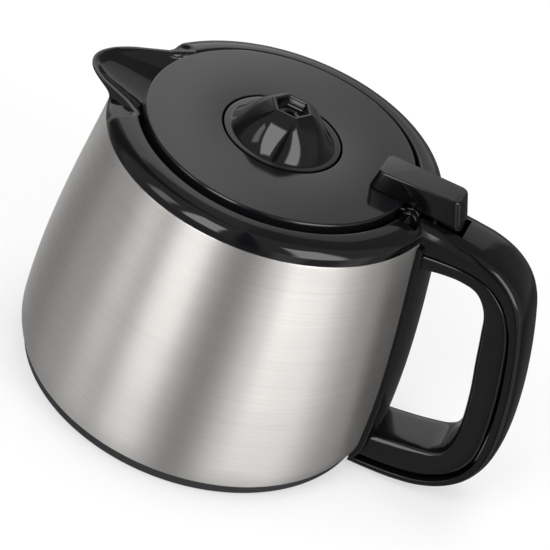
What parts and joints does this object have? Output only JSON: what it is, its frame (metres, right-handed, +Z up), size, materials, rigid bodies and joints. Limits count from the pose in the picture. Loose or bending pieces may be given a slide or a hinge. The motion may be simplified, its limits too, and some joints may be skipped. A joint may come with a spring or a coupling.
{
  "type": "thermal carafe",
  "caption": "Vacuum-walled steel coffee jug with a leaf-shaped spout, loop handle, hinged lid with thumb lever and a sprung brew-through cone valve.",
  "frame": {"origin": "on the table, on the flask's own upright axis", "axes": "+Z up, +X through the handle, -X through the spout"},
  "size_m": [0.2029, 0.1516, 0.134],
  "materials": {
    "steel_body": "brushed round the body, softly shining",
    "steel_inner": "plain drawn steel",
    "base_plastic": "fine matt grain",
    "black_rubber": "soft matt",
    "silicone": "milky silicone",
    "collar_plastic": "polished",
    "handle_plastic": "polished",
    "handle_inner_plastic": "satin",
    "lid_plastic": "satin polish",
    "plug_plastic": "satin",
    "lever_plastic": "polished",
    "cone_plastic": "polished",
    "stem_plastic": "satin, natural",
    "screw_steel": "plain stainless",
    "pin_steel": "drawn bright",
    "spring_steel": "drawn bright"
  },
  "bodies": {
    "jug": {"outer_shell": "steel_body", "neck_ring": "steel_inner", "inner_flask": "steel_inner", "flask_neck": "steel_inner", "flask_floor": "steel_inner", "shell_bottom": "steel_inner", "base_cup": "base_plastic", "base_pad": "black_rubber", "neck_gasket": "silicone", "collar": "collar_plastic", "handle_outer": "handle_plastic", "handle_inner": "handle_inner_plastic", "handle_screws": "screw_steel", "handle_lower_screw": "screw_steel", "hinge_pin": "pin_steel"},
    "lid": {"lid_cover": "lid_plastic", "lid_base": "plug_plastic", "lid_gasket": "silicone", "lid_screws": "screw_steel", "thumb_lever": "lever_plastic", "lever_screws": "screw_steel"},
    "brew_valve": {"brew_cone": "cone_plastic", "valve_stem": "stem_plastic", "valve_spring": "spring_steel", "valve_seal": "silicone", "valve_disc": "stem_plastic", "valve_screw": "screw_steel"}
  },
  "joints": [
    {"name": "lid_hinge", "type": "hinge", "parent": "jug", "child": "lid", "pos_m": [0.057, 0, 0.117], "axis": [0, 1, 0], "range_deg": [0, 36]},
    {"name": "valve_slide", "type": "slide", "parent": "lid", "child": "brew_valve", "axis": [0, 0, -1], "range_m": [0, 0.004], "stiffness_N_per_m": 300, "deforming": ["valve_spring"]}
  ]
}
